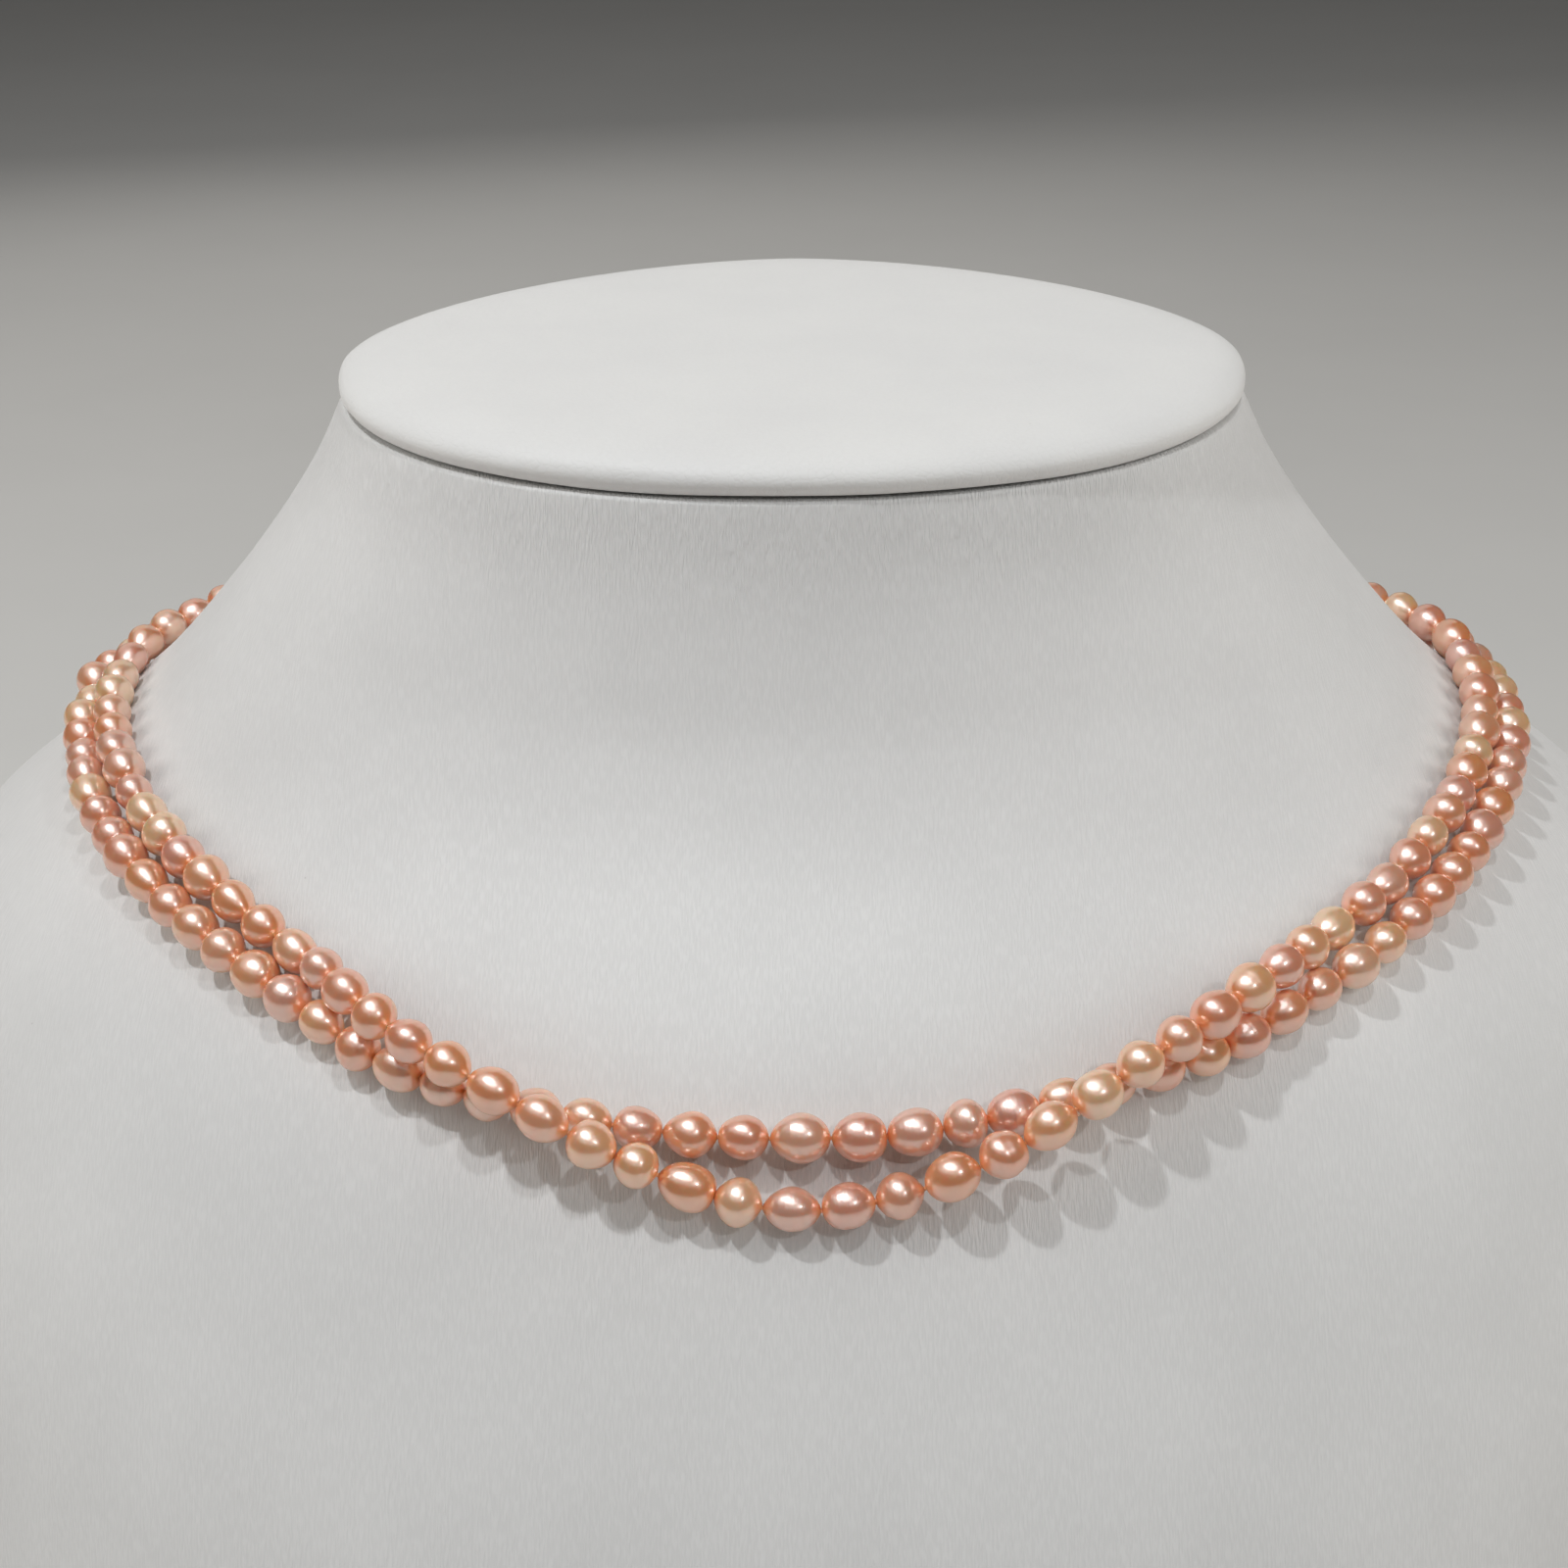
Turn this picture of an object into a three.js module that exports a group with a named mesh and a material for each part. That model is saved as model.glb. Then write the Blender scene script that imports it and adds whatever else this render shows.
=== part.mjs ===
// A two-strand necklace of small oval pearls, resting on a covered neck bust.
// Millimetres, +Z up. The origin is the middle of the bust's flat base and the front faces -Y.
import * as THREE from 'three';

// Driving dimensions
const neckTop = 150; // height of the neck's upper edge above the base
const seat = 0.3; // clearance between pieces that rest on each other
const curveAllowance = 0.15; // more of it under the strands, where the bust is hollow
const heelInset = 1.5; // how far the covering turns under at the base
const bustFacets = 48; // facets round the bust and its cap
const frontRoundness = 2.15; // superellipse power of a section's front half
const backRoundness = 1.7; // the same for the back half
const pearlWidth = 4.0; // mean diameter across the thread
const pearlPitch = 4.95; // mean length along the thread
const threadWidth = 1.1; // the neck of a strand's solid between two pearls
const pearlFacets = 8; // facets round a pearl
const piecesPerStrand = 6; // solids that each strand is joined into
const standOff = pearlWidth / 2 + seat + curveAllowance; // from the bust to a thread
const lengthSpread = 0.16; // how much pearls differ, as shares of their mean size
const widthSpread = 0.09;
const leanSpread = 0.12; // how far a pearl's fullest part can sit from its middle
const claspHalfWidth = 7.3; // along the neck, from the back centre line to a strand's end
const claspHeight = 9;
const claspThickness = 3;
const claspBodyHalf = 5.2; // half width without the ears that hold the strands
const claspCorner = 1.4;
const claspBevel = 0.5;
const earHalf = 0.9; // half height of an ear
const earChamfer = 0.4;

// The bust's horizontal sections. drop: below the neck's upper edge. half: half width.
// front, back: depth before and behind the neck's middle.
const bustSections = [
  { drop: 0, half: 49, front: 41, back: 40 },
  { drop: 8, half: 53, front: 43, back: 40.5 },
  { drop: 16, half: 58.5, front: 46.2, back: 41.5 },
  { drop: 24, half: 65, front: 50.8, back: 43.5 },
  { drop: 32, half: 72.5, front: 58.8, back: 47 },
  { drop: 40, half: 82.5, front: 72.5, back: 51.5 },
  { drop: 50, half: 94.5, front: 83.5, back: 55.5 },
  { drop: 65, half: 103.5, front: 95.5, back: 59 },
  { drop: 85, half: 107, front: 109, back: 62 },
  { drop: 110, half: 106, front: 118, back: 62 },
  { drop: 135, half: 100, front: 117.5, back: 59.5 },
  { drop: 150, half: 95, front: 113, back: 57 },
];

// Where the strands lie. angle: round the neck in degrees, 0 at the front and 180 at the clasp.
// inner, outer: how far each strand lies below the neck's upper edge.
// lift: how far the inner strand stands off the bust where it passes over the outer one.
const strandRoute = [
  { angle: -180, inner: 33.0, lift: 0, outer: 36.9 },
  { angle: -150, inner: 33.3, lift: 0, outer: 37.1 },
  { angle: -120, inner: 34.2, lift: 0, outer: 37.6 },
  { angle: -95, inner: 34.3, lift: 0, outer: 37.2 },
  { angle: -75, inner: 34.7, lift: 0, outer: 37.2 },
  { angle: -60, inner: 36.1, lift: 0, outer: 38.4 },
  { angle: -45, inner: 38.2, lift: 0, outer: 40.4 },
  { angle: -35, inner: 40.4, lift: 1, outer: 42.4 },
  { angle: -28, inner: 42.9, lift: 3.2, outer: 44.6 },
  { angle: -20, inner: 45.6, lift: 4.4, outer: 45.9 },
  { angle: -12, inner: 48.7, lift: 2.8, outer: 46.8 },
  { angle: -5, inner: 51.1, lift: 0.3, outer: 47.3 },
  { angle: 0, inner: 52.1, lift: 0, outer: 47.4 },
  { angle: 6, inner: 51.3, lift: 0.5, outer: 47.4 },
  { angle: 12, inner: 49.5, lift: 2.4, outer: 46.7 },
  { angle: 21, inner: 45.4, lift: 4.4, outer: 45.3 },
  { angle: 29, inner: 42.7, lift: 3.4, outer: 44.2 },
  { angle: 36, inner: 40.6, lift: 1.6, outer: 42.6 },
  { angle: 45, inner: 38.8, lift: 0.1, outer: 41.0 },
  { angle: 60, inner: 36.4, lift: 0, outer: 38.7 },
  { angle: 75, inner: 35.0, lift: 0, outer: 37.4 },
  { angle: 95, inner: 34.3, lift: 0, outer: 37.2 },
  { angle: 120, inner: 34.2, lift: 0, outer: 37.6 },
  { angle: 150, inner: 33.3, lift: 0, outer: 37.1 },
  { angle: 180, inner: 33.0, lift: 0, outer: 36.9 },
];

// The cap's rings. rise: above the neck's upper edge. inset: in from the neck's outline.
const capRings = [
  { rise: seat, inset: 0.9 },
  { rise: 1.0, inset: 0 },
  { rise: 2.2, inset: -0.5 },
  { rise: 3.3, inset: 0.1 },
  { rise: 4.1, inset: 1.7 },
  { rise: 4.5, inset: 5 },
  { rise: 4.8, inset: 16 },
];
const capCrown = 5;

// A smooth curve through one column of a table
function tableValue(rows, key, column, at) {
  const last = rows.length - 1;
  let i = 0;
  while (i < last - 1 && at >= rows[i + 1][key]) i += 1;
  const slope = (j) => {
    const before = rows[Math.max(j - 1, 0)];
    const after = rows[Math.min(j + 1, last)];
    return (after[column] - before[column]) / (after[key] - before[key]);
  };
  const from = rows[i];
  const to = rows[i + 1];
  const span = to[key] - from[key];
  const t = (at - from[key]) / span;
  const rise = t * t * (3 - 2 * t);
  const leave = t * (1 - t) * (1 - t) * span * slope(i);
  const arrive = t * t * (t - 1) * span * slope(i + 1);
  return from[column] * (1 - rise) + to[column] * rise + leave + arrive;
}

function radians(degrees) {
  return (degrees * Math.PI) / 180;
}

// The bust's outline at a drop, seen from above along one direction round the neck
function outlineRadius(angle, drop) {
  const side = Math.abs(Math.sin(angle));
  const ahead = Math.cos(angle);
  const half = tableValue(bustSections, 'drop', 'half', drop);
  const depth = tableValue(bustSections, 'drop', ahead > 0 ? 'front' : 'back', drop);
  const power = ahead > 0 ? frontRoundness : backRoundness;
  return ((side / half) ** power + (Math.abs(ahead) / depth) ** power) ** (-1 / power);
}

function aroundAxis(angle, radius, height) {
  return new THREE.Vector3(radius * Math.sin(angle), -radius * Math.cos(angle), height);
}

function bustPoint(angle, drop) {
  return aroundAxis(angle, outlineRadius(angle, drop), neckTop - drop);
}

function bustNormal(angle, drop) {
  const step = 0.001;
  const around = bustPoint(angle + step, drop).sub(bustPoint(angle - step, drop));
  const down = bustPoint(angle, drop + step).sub(bustPoint(angle, drop - step));
  return down.cross(around).normalize();
}

// A closed body from rings of equal point counts, with a point in the middle of each end
function ringBody(rings, firstMiddle, lastMiddle) {
  const count = rings[0].length;
  const points = [firstMiddle, ...rings.flat(), lastMiddle];
  const faces = [];
  const end = points.length - 1;
  const at = (ring, i) => 1 + ring * count + (i % count);
  for (let i = 0; i < count; i += 1) {
    faces.push(0, at(0, i + 1), at(0, i));
    faces.push(end, at(rings.length - 1, i), at(rings.length - 1, i + 1));
    for (let ring = 0; ring < rings.length - 1; ring += 1) {
      faces.push(at(ring, i), at(ring, i + 1), at(ring + 1, i + 1));
      faces.push(at(ring, i), at(ring + 1, i + 1), at(ring + 1, i));
    }
  }
  const geometry = new THREE.BufferGeometry();
  geometry.setAttribute('position', new THREE.Float32BufferAttribute(points.flatMap((p) => p.toArray()), 3));
  geometry.setIndex(faces);
  geometry.computeVertexNormals();
  return geometry;
}

function facetAngles(count) {
  return Array.from({ length: count }, (unused, i) => (2 * Math.PI * i) / count);
}

function bustForm() {
  const drops = [150, 147, 135, 118, 100, 84, 70, 59, 50, 44.5, 39.5, 35, 30.5, 25, 19, 12, 5, 0];
  const rings = drops.map((drop) =>
    facetAngles(bustFacets).map((angle) => {
      const inset = drop < neckTop ? 0 : heelInset;
      return aroundAxis(angle, outlineRadius(angle, drop) - inset, neckTop - drop);
    }),
  );
  return ringBody(rings, new THREE.Vector3(0, 0, 0), new THREE.Vector3(0, 0, neckTop));
}

function bustCap() {
  const rings = capRings.map(({ rise, inset }) =>
    facetAngles(bustFacets).map((angle) => aroundAxis(angle, outlineRadius(angle, 0) - inset, neckTop + rise)),
  );
  const under = new THREE.Vector3(0, 0, neckTop + seat);
  return ringBody(rings, under, new THREE.Vector3(0, 0, neckTop + capCrown));
}

// A repeatable stream of numbers from 0 to 1
function numberStream(seed) {
  let state = seed;
  return () => {
    state = (Math.imul(state, 1664525) + 1013904223) >>> 0;
    return state / 4294967296;
  };
}

// The line of a strand's thread, as points with their distance along it
function threadLine(column) {
  const steps = 1440;
  const line = [];
  let along = 0;
  for (let i = 0; i <= steps; i += 1) {
    const degrees = -180 + (360 * i) / steps;
    const drop = tableValue(strandRoute, 'angle', column, degrees);
    const lift = column === 'inner' ? Math.max(tableValue(strandRoute, 'angle', 'lift', degrees), 0) : 0;
    const outward = bustNormal(radians(degrees), drop);
    const point = bustPoint(radians(degrees), drop).addScaledVector(outward, standOff + lift);
    if (i > 0) along += point.distanceTo(line[i - 1].point);
    line.push({ point, outward, along });
  }
  return line;
}

// The place at one distance along the thread, with the directions across it
function placeOnThread(line, along) {
  let low = 0;
  let high = line.length - 1;
  while (high - low > 1) {
    const middle = (low + high) >> 1;
    if (line[middle].along > along) high = middle;
    else low = middle;
  }
  const share = (along - line[low].along) / (line[high].along - line[low].along);
  const point = line[low].point.clone().lerp(line[high].point, share);
  const forward = line[high].point.clone().sub(line[low].point).normalize();
  const sideways = forward.clone().cross(line[low].outward).normalize();
  return { point, outward: sideways.clone().cross(forward), sideways };
}

// Pearls of slightly uneven length, width and fullness that fill the thread from end to end
function threadPearls(line, seed) {
  const next = numberStream(seed);
  const start = claspHalfWidth;
  const room = line[line.length - 1].along - 2 * claspHalfWidth;
  const count = Math.round(room / pearlPitch);
  const pearls = Array.from({ length: count }, () => ({
    length: 1 + lengthSpread * (next() - 0.5),
    width: pearlWidth * (1 + widthSpread * (next() - 0.5)),
    lean: leanSpread * (next() - 0.5),
  }));
  const stretch = room / pearls.reduce((sum, pearl) => sum + pearl.length, 0);
  let along = start;
  return pearls.map((pearl) => {
    const length = pearl.length * stretch;
    const placed = { ...pearl, length, start: along };
    along += length;
    return placed;
  });
}

function threadRing(line, along, radius) {
  const { point, outward, sideways } = placeOnThread(line, along);
  return facetAngles(pearlFacets).map((angle) =>
    point.clone()
      .addScaledVector(outward, radius * Math.cos(angle))
      .addScaledVector(sideways, radius * Math.sin(angle)),
  );
}

// Pearls joined along their thread into one body
function pearlRun(line, pearls) {
  const bulges = [-0.72, 0, 0.72]; // rings along a pearl, from its middle to its tips at -1 and 1
  const last = pearls[pearls.length - 1];
  const first = pearls[0].start + seat / 2;
  const end = last.start + last.length - seat / 2;
  const rings = [threadRing(line, first, threadWidth / 2)];
  pearls.forEach((pearl, i) => {
    if (i > 0) rings.push(threadRing(line, pearl.start, threadWidth / 2));
    bulges.forEach((bulge) => {
      const radius = (pearl.width / 2) * Math.sqrt(1 - bulge * bulge);
      const along = pearl.start + (pearl.length / 2) * (1 + bulge + pearl.lean);
      rings.push(threadRing(line, along, radius));
    });
  });
  rings.push(threadRing(line, end, threadWidth / 2));
  return ringBody(rings, placeOnThread(line, first).point, placeOnThread(line, end).point);
}

// The clasp's outline: a rounded box with an ear on each side for each strand
function claspOutline(earHeights) {
  const halfHeight = claspHeight / 2;
  const earReach = claspHalfWidth - seat / 2;
  const outline = new THREE.Shape();
  const [low, high] = earHeights;
  const ear = (side, height, upwards) => {
    const step = upwards ? earHalf : -earHalf;
    outline.lineTo(side * claspBodyHalf, height - step);
    outline.lineTo(side * (earReach - earChamfer), height - step);
    outline.lineTo(side * earReach, height - step / 2);
    outline.lineTo(side * earReach, height + step / 2);
    outline.lineTo(side * (earReach - earChamfer), height + step);
    outline.lineTo(side * claspBodyHalf, height + step);
  };
  outline.moveTo(-claspBodyHalf + claspCorner, -halfHeight);
  outline.lineTo(claspBodyHalf - claspCorner, -halfHeight);
  outline.lineTo(claspBodyHalf, -halfHeight + claspCorner);
  ear(1, low, true);
  ear(1, high, true);
  outline.lineTo(claspBodyHalf, halfHeight - claspCorner);
  outline.lineTo(claspBodyHalf - claspCorner, halfHeight);
  outline.lineTo(-claspBodyHalf + claspCorner, halfHeight);
  outline.lineTo(-claspBodyHalf, halfHeight - claspCorner);
  ear(-1, high, false);
  ear(-1, low, false);
  outline.lineTo(-claspBodyHalf, -halfHeight + claspCorner);
  return outline;
}

// The clasp closes both strands at the back of the neck, as one plain piece
function claspMesh() {
  const route = strandRoute[0];
  const middleDrop = (route.inner + route.outer) / 2;
  const outward = bustNormal(Math.PI, middleDrop);
  const spacing = bustPoint(Math.PI, route.inner).distanceTo(bustPoint(Math.PI, route.outer));
  const geometry = new THREE.ExtrudeGeometry(claspOutline([-spacing / 2, spacing / 2]), {
    depth: claspThickness - 2 * claspBevel,
    bevelThickness: claspBevel,
    bevelSize: claspBevel,
    bevelOffset: -claspBevel,
    bevelSegments: 1,
  });
  geometry.translate(0, 0, -claspThickness / 2 + claspBevel);
  const mesh = new THREE.Mesh(geometry, metal());
  const upTheNeck = bustPoint(Math.PI, route.inner).sub(bustPoint(Math.PI, route.outer)).normalize();
  const across = upTheNeck.clone().cross(outward);
  mesh.setRotationFromMatrix(new THREE.Matrix4().makeBasis(across, upTheNeck, outward));
  mesh.position.copy(bustPoint(Math.PI, middleDrop).addScaledVector(outward, standOff));
  return mesh;
}

function leatherette() {
  return new THREE.MeshStandardMaterial({ color: 0xd6d4d0, roughness: 0.62, metalness: 0 });
}

function nacre() {
  return new THREE.MeshStandardMaterial({ color: 0xe9a583, roughness: 0.2, metalness: 0 });
}

function metal() {
  return new THREE.MeshStandardMaterial({ color: 0xc9c6c0, roughness: 0.25, metalness: 1 });
}

function addPiece(parent, name, mesh) {
  mesh.name = name;
  parent.add(mesh);
}

function addStrand(parent, name, column, seed) {
  const line = threadLine(column);
  const pearls = threadPearls(line, seed);
  const cut = (piece) => Math.round((piece * pearls.length) / piecesPerStrand);
  for (let piece = 0; piece < piecesPerStrand; piece += 1) {
    const run = pearls.slice(cut(piece), cut(piece + 1));
    addPiece(parent, `${name}_${piece + 1}`, new THREE.Mesh(pearlRun(line, run), nacre()));
  }
}

const group = new THREE.Group();
addPiece(group, 'bust_form', new THREE.Mesh(bustForm(), leatherette()));
addPiece(group, 'bust_cap', new THREE.Mesh(bustCap(), leatherette()));

const necklace = new THREE.Group();
addStrand(necklace, 'inner_strand', 'inner', 11);
addStrand(necklace, 'outer_strand', 'outer', 29);
addPiece(necklace, 'clasp', claspMesh());
group.add(necklace);

export default group;
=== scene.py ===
import math

import bpy
import numpy as np
from mathutils import Euler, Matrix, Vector


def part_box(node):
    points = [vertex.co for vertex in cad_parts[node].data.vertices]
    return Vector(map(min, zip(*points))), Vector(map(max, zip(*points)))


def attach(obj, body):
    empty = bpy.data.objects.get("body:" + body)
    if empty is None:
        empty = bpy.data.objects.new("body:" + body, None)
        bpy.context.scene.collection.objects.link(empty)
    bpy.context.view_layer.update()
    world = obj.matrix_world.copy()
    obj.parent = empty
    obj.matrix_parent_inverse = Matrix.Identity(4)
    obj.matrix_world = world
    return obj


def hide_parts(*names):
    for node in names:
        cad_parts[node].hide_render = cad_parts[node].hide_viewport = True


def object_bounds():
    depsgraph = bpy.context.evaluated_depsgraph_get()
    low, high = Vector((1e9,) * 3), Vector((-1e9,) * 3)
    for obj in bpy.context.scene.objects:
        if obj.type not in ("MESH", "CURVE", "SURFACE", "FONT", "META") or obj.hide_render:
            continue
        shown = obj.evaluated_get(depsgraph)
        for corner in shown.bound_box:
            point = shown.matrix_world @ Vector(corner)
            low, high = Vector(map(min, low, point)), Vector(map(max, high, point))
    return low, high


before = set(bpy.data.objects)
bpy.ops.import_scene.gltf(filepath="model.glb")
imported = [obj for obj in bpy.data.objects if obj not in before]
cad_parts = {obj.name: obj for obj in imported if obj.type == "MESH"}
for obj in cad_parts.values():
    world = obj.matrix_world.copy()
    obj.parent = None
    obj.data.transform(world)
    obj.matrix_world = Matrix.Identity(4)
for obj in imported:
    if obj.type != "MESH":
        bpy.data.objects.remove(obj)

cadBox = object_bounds()
mm = 0.001  # shapes are worked out in millimetres and turned into metres when a mesh is made

# the solids' own sizes, which the bust, the strands and the clasp here keep to
seat = 0.3  # clearance between two solids
curveAllowance = 0.15  # more of it under the strands, where the bust is hollow
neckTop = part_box("bust_cap")[0].z / mm - seat
pearlWidth = 4.0
pearlPitch = 4.95  # mean length along the thread
claspHalfWidth = 7.3  # along the neck, from its back to a strand's end
standOff = pearlWidth / 2 + seat + curveAllowance  # from the bust to a thread
piecesPerStrand = 6
roundness = {"front": 2.15, "back": 1.7}  # superellipse powers of the bust's sections


def named(columns, rows):
    return [dict(zip(columns.split(), row)) for row in rows]


# drop: below the neck's upper edge; half: half width; front, back: depth from the neck's middle
bustSections = named("drop half front back", [
    (0, 49, 41, 40),
    (8, 53, 43, 40.5),
    (16, 58.5, 46.2, 41.5),
    (24, 65, 50.8, 43.5),
    (32, 72.5, 58.8, 47),
    (40, 82.5, 72.5, 51.5),
    (50, 94.5, 83.5, 55.5),
    (65, 103.5, 95.5, 59),
    (85, 107, 109, 62),
    (110, 106, 118, 62),
    (135, 100, 117.5, 59.5),
    (150, 95, 113, 57),
])

# angle: round the neck, 0 at the front; inner, outer: each strand's drop; lift: of the inner one
strandRoute = named("angle inner lift outer", [
    (-180, 33.0, 0, 36.9),
    (-150, 33.3, 0, 37.1),
    (-120, 34.2, 0, 37.6),
    (-95, 34.3, 0, 37.2),
    (-75, 34.7, 0, 37.2),
    (-60, 36.1, 0, 38.4),
    (-45, 38.2, 0, 40.4),
    (-35, 40.4, 1, 42.4),
    (-28, 42.9, 3.2, 44.6),
    (-20, 45.6, 4.4, 45.9),
    (-12, 48.7, 2.8, 46.8),
    (-5, 51.1, 0.3, 47.3),
    (0, 52.1, 0, 47.4),
    (6, 51.3, 0.5, 47.4),
    (12, 49.5, 2.4, 46.7),
    (21, 45.4, 4.4, 45.3),
    (29, 42.7, 3.4, 44.2),
    (36, 40.6, 1.6, 42.6),
    (45, 38.8, 0.1, 41.0),
    (60, 36.4, 0, 38.7),
    (75, 35.0, 0, 37.4),
    (95, 34.3, 0, 37.2),
    (120, 34.2, 0, 37.6),
    (150, 33.3, 0, 37.1),
    (180, 33.0, 0, 36.9),
])

# rise: above the neck's upper edge; inset: in from the neck's outline; along: order of the rings
capRings = named("along rise inset", [
    (0, 0.22, 1.3),
    (1, 0.34, 0.6),
    (2, 0.75, 0.1),
    (3, 1.4, -0.3),
    (4, 2.15, -0.3),
    (5, 2.95, 0.25),
    (6, 3.65, 1.4),
    (7, 4.15, 3.3),
    (8, 4.55, 7),
    (9, 4.85, 16),
])
capCrown = 5.0  # the cap's middle above the neck's upper edge


def tableCurve(rows, key, column, at):
    # a smooth curve through one column of a table
    keys = np.array([row[key] for row in rows], float)
    values = np.array([row[column] for row in rows], float)
    slopes = np.empty(len(keys))
    slopes[1:-1] = (values[2:] - values[:-2]) / (keys[2:] - keys[:-2])
    slopes[0] = (values[1] - values[0]) / (keys[1] - keys[0])
    slopes[-1] = (values[-1] - values[-2]) / (keys[-1] - keys[-2])
    i = np.clip(np.searchsorted(keys, at, side="right") - 1, 0, len(keys) - 2)
    span = keys[i + 1] - keys[i]
    t = (at - keys[i]) / span
    rise = t * t * (3 - 2 * t)
    leave = t * (1 - t) ** 2 * span * slopes[i]
    arrive = t * t * (t - 1) * span * slopes[i + 1]
    return values[i] * (1 - rise) + values[i + 1] * rise + leave + arrive


def outlineRadius(angle, drop):
    side, ahead = np.abs(np.sin(angle)), np.cos(angle)
    half = tableCurve(bustSections, "drop", "half", drop)
    front = tableCurve(bustSections, "drop", "front", drop)
    back = tableCurve(bustSections, "drop", "back", drop)
    depth = np.where(ahead > 0, front, back)
    power = np.where(ahead > 0, roundness["front"], roundness["back"])
    return ((side / half) ** power + (np.abs(ahead) / depth) ** power) ** (-1 / power)


def aroundAxis(angle, radius, height):
    angle, radius, height = np.broadcast_arrays(angle, radius, height)
    return np.stack([radius * np.sin(angle), -radius * np.cos(angle), height], -1)


def bustPoint(angle, drop):
    return aroundAxis(angle, outlineRadius(angle, drop), neckTop - drop)


def unit(vectors):
    return vectors / np.linalg.norm(vectors, axis=-1, keepdims=True)


def bustNormal(angle, drop):
    step = 0.001  # small in radians and in millimetres
    around = bustPoint(angle + step, drop) - bustPoint(angle - step, drop)
    down = bustPoint(angle, drop + step) - bustPoint(angle, drop - step)
    return unit(np.cross(down, around))


camera = {
    "from": (0.3, -292.7, 87.3),  # from the middle of the neck's upper edge
    "heading": 0.3,  # degrees, as are the next two
    "pitch": 25.0,  # below the horizon
    "roll": -0.5,
    "lens": 63.0,
    "film": 36.0,
    "nearest": 10.0,
}

# at: from the middle of the neck's upper edge; size: width and height; watts: its power;
# seenBy: which kind of surface it lights, so that the pearls mirror cards and not every lamp
lamps = named("name at size watts tint seenBy", [
    ("leftLamp", (-290, -160, 690), (34, 34), 1.95, "cool", "all"),
    ("middleLamp", (110, -290, 690), (34, 34), 0.98, "cool", "diffuse"),
    ("rightLamp", (408, -646, 626), (34, 34), 0.98, "cool", "all"),
    ("glintCard", (-200, -230, 760), (900, 500), 3.0, "cool", "glossy"),
    ("sheenCard", (-200, -230, 760), (2200, 1100), 2.6, "cool", "glossy"),
    ("leftFill", (-700, -20, 300), (500, 500), 2.0, "warm", "diffuse"),
    ("rightFill", (700, -40, 300), (500, 500), 2.2, "warm", "diffuse"),
    ("lowFill", (0, -600, -140), (400, 400), 0.45, "warm", "diffuse"),
    ("backFill", (-160, 640, 300), (1100, 700), 0.9, "warm", "all"),
])
lampAim = (0, -45, -38)  # from the middle of the neck's upper edge
lampTints = {"cool": (0.975, 0.995, 1.02), "warm": (1.04, 1.0, 0.95)}
surroundings = {"colour": (1.04, 1.0, 0.95, 1), "strength": 0.07}


def setStage():
    top = Vector((0, 0, neckTop))
    view = bpy.data.cameras.new("viewCamera")
    view.lens = camera["lens"]
    view.sensor_width = camera["film"]
    view.clip_start = camera["nearest"] * mm
    holder = bpy.data.objects.new("viewCamera", view)
    holder.location = (top + Vector(camera["from"])) * mm
    heading, pitch, roll = (math.radians(camera[key]) for key in ("heading", "pitch", "roll"))
    turn = Euler((math.pi / 2 - pitch, 0, heading)).to_matrix()
    tilt = Euler((0, 0, roll)).to_matrix()
    holder.rotation_euler = (turn @ tilt).to_euler()
    bpy.context.scene.collection.objects.link(holder)
    bpy.context.scene.camera = holder
    for lamp in lamps:
        light = bpy.data.lights.new(lamp["name"], "AREA")
        light.shape = "ELLIPSE"
        light.size, light.size_y = (side * mm for side in lamp["size"])
        light.energy = lamp["watts"]
        light.color = lampTints[lamp["tint"]]
        stand = bpy.data.objects.new(lamp["name"], light)
        stand.location = (top + Vector(lamp["at"])) * mm
        stand.rotation_euler = (Vector(lampAim) - Vector(lamp["at"])).to_track_quat("-Z", "Y").to_euler()
        stand.visible_camera = False
        stand.visible_glossy = lamp["seenBy"] in ("all", "glossy")
        stand.visible_diffuse = lamp["seenBy"] in ("all", "diffuse")
        bpy.context.scene.collection.objects.link(stand)
    world = bpy.data.worlds.new("studio")
    world.use_nodes = True
    air = world.node_tree.nodes["Background"]
    air.inputs["Color"].default_value = surroundings["colour"]
    air.inputs["Strength"].default_value = surroundings["strength"]
    bpy.context.scene.world = world
    world.cycles_visibility.glossy = False  # the pearls mirror a dark room
    bpy.context.scene.view_settings.view_transform = "Standard"


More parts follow.
